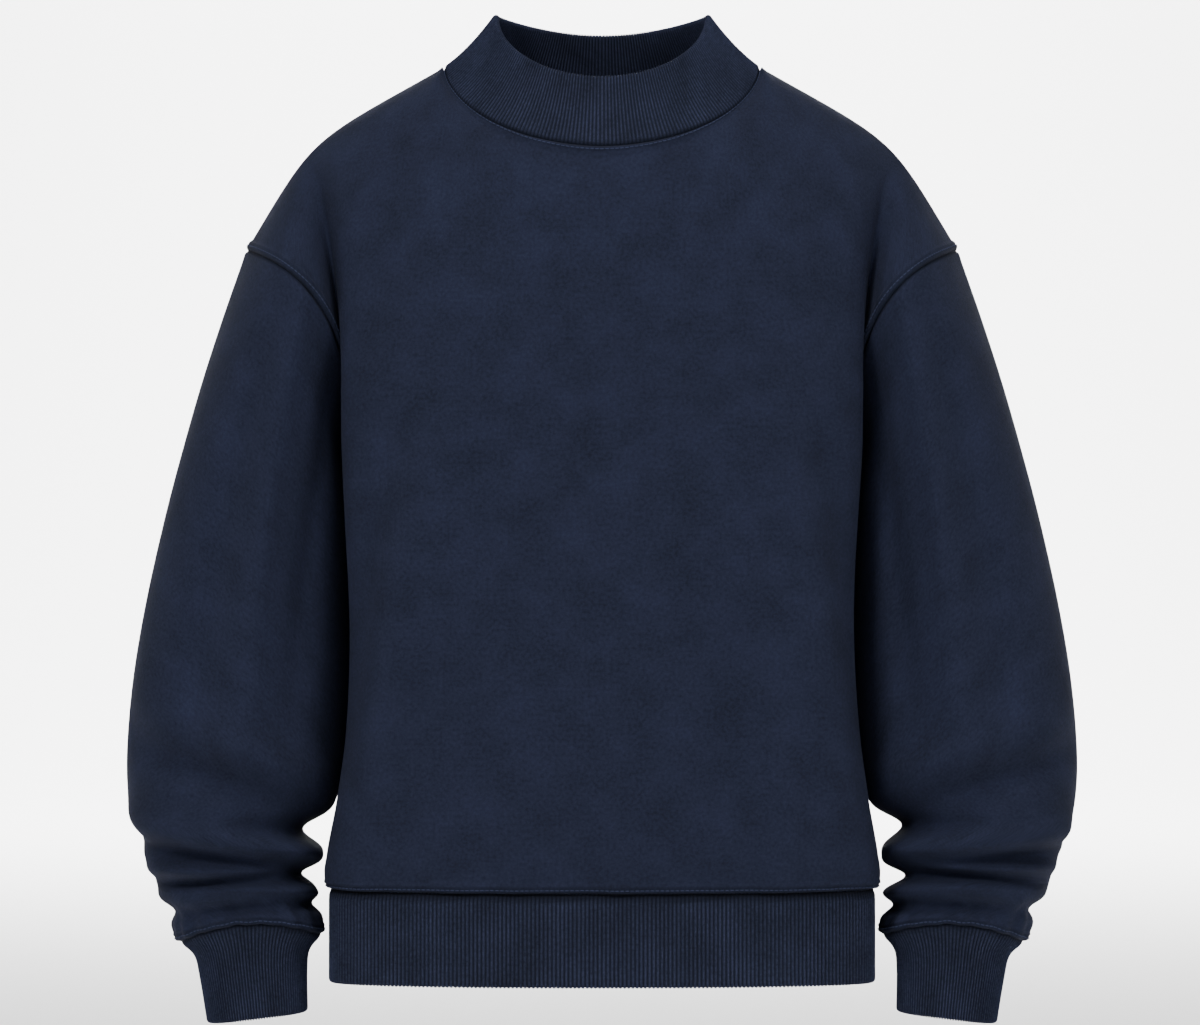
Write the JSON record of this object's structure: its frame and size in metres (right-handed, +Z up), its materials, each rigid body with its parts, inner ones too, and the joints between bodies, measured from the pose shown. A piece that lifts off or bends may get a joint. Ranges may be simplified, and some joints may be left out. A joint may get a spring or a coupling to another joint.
{
  "type": "mock neck fleece pullover",
  "caption": "Loose navy fleece pullover with a ribbed mock neck, dropped shoulders, full sleeves gathered into ribbed cuffs and a ribbed hem band, filled out as if worn",
  "frame": {"origin": "between the high points of the shoulders, where the collar seam crosses the shoulder seams: where the wearer's shoulders hold the garment up", "axes": "+X the wearer's left, -Y the front of the garment, +Z up"},
  "size_m": [0.7032, 0.2438, 0.744],
  "materials": {
    "fleece": "matte brushed cotton fleece, navy",
    "rib": "matte rib knit, darker navy"
  },
  "bodies": {
    "root": {"front": "fleece", "back": "fleece", "sleeve_left": "fleece", "sleeve_right": "fleece", "collar": "rib", "hem_band": "rib", "cuff_left": "rib", "cuff_right": "rib"}
  },
  "joints": []
}
